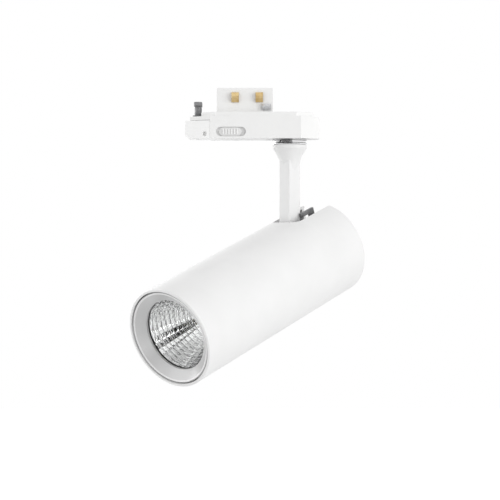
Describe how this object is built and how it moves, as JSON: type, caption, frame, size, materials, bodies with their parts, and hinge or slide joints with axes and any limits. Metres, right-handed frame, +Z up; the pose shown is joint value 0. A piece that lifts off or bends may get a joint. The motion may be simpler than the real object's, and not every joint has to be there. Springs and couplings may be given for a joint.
{
  "type": "track spotlight",
  "caption": "White tubular spotlight with a faceted reflector, hung on a swivelling stem in a rear tilt slot, with a track adapter, lock lever and circuit selector.",
  "frame": {"origin": "on the swivel axis, at the height of the seat pads that meet the track's underside", "axes": "+X along the track from the lock lever towards the swivel, +Z up into the track; the head is stored panned and tilted as pictured"},
  "size_m": [0.1888, 0.2024, 0.2384],
  "materials": {
    "white_coat": "white powder coat on aluminium, fine satin grain",
    "bezel_grey": "satin anodised aluminium",
    "white_plastic": "white moulded plastic, satin",
    "chrome": "polished chrome plate",
    "mirror": "bright anodised aluminium mirror",
    "glass": "clear flat glass",
    "rubber": "black silicone",
    "brass": "bare brass",
    "steel": "zinc plated steel",
    "dark_steel": "dark phosphated steel",
    "aluminium": "bare extruded aluminium",
    "fibre": "red vulcanised fibre",
    "phosphor": "yellow phosphor gel",
    "ceramic": "white ceramic board",
    "dark_plastic": "dark moulded plastic",
    "green_plastic": "green moulded plastic"
  },
  "bodies": {
    "adapter": {"adapter_tray": "white_plastic", "contact_carrier": "white_plastic", "contact_blades": "brass", "earth_springs": "steel", "terminal_block": "dark_plastic", "terminal_screws": "brass", "case_screws": "steel", "swivel_bush": "brass", "bush_nut": "steel", "collar_ring": "chrome"},
    "lever": {"lock_lever": "white_plastic", "lock_shaft": "dark_steel", "lever_screw": "steel"},
    "selector": {"selector_slider": "white_plastic", "selector_contact": "brass"},
    "stem": {"stem": "white_coat", "swivel_washer": "fibre", "stop_plate": "steel", "retaining_clip": "dark_steel"},
    "head": {"housing_tube": "white_coat", "bezel": "bezel_grey", "front_glass": "glass", "glass_gasket": "rubber", "reflector": "mirror", "emitter_holder": "white_plastic", "holder_screws": "steel", "emitter_board": "ceramic", "emitter_disc": "phosphor", "heat_sink": "aluminium", "chassis": "steel", "chassis_screws": "dark_steel", "driver_case": "white_plastic", "driver_terminals": "green_plastic", "tilt_bracket": "dark_steel", "bracket_screws": "steel", "tilt_pin": "steel", "pin_nut": "steel", "friction_washers": "fibre", "earth_screw": "steel", "rear_cap": "white_coat", "cap_screws": "steel"}
  },
  "joints": [
    {"name": "pan_swivel", "type": "hinge", "parent": "adapter", "child": "stem", "pos_m": [0, 0, -0.024], "axis": [0, 0, 1], "range_deg": [-168, 168]},
    {"name": "head_tilt", "type": "hinge", "parent": "stem", "child": "head", "pos_m": [0, 0, -0.0988], "axis": [0.7593, -0.6508, 0], "range_deg": [-19.8, 70.2]},
    {"name": "lever_swing", "type": "hinge", "parent": "adapter", "child": "lever", "pos_m": [-0.0755, 0, -0.0146], "axis": [0, 0, 1], "range_deg": [0, 90]},
    {"name": "selector_slide", "type": "slide", "parent": "adapter", "child": "selector", "axis": [1, 0, 0], "range_m": [-0.0021, 0.0031]}
  ]
}
